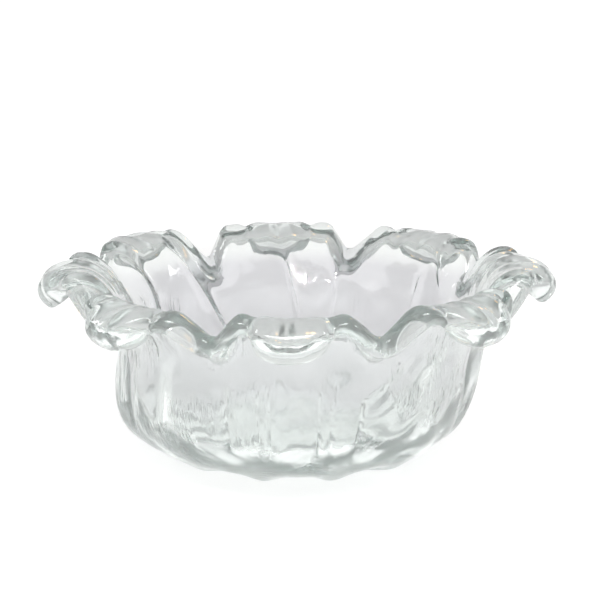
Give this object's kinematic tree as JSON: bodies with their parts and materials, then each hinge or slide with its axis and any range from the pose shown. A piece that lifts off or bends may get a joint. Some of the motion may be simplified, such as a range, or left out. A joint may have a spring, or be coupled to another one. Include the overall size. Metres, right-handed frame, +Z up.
{
  "type": "scalloped glass bowl",
  "caption": "Thick clear glass bowl with a ribbed round body, a flat ground base and a wavy rim of petals that each curl outward and down.",
  "frame": {"origin": "centre of the bowl's outline, on the surface it stands on", "axes": "+Z up through the bowl's mouth, -Y towards the petal that faces the viewer, +X to the viewer's right"},
  "size_m": [0.2808, 0.2804, 0.1083],
  "materials": {
    "clear_glass": "clear, fire-polished, faintly green where thick"
  },
  "bodies": {
    "root": {"bowl": "clear_glass"}
  },
  "joints": []
}
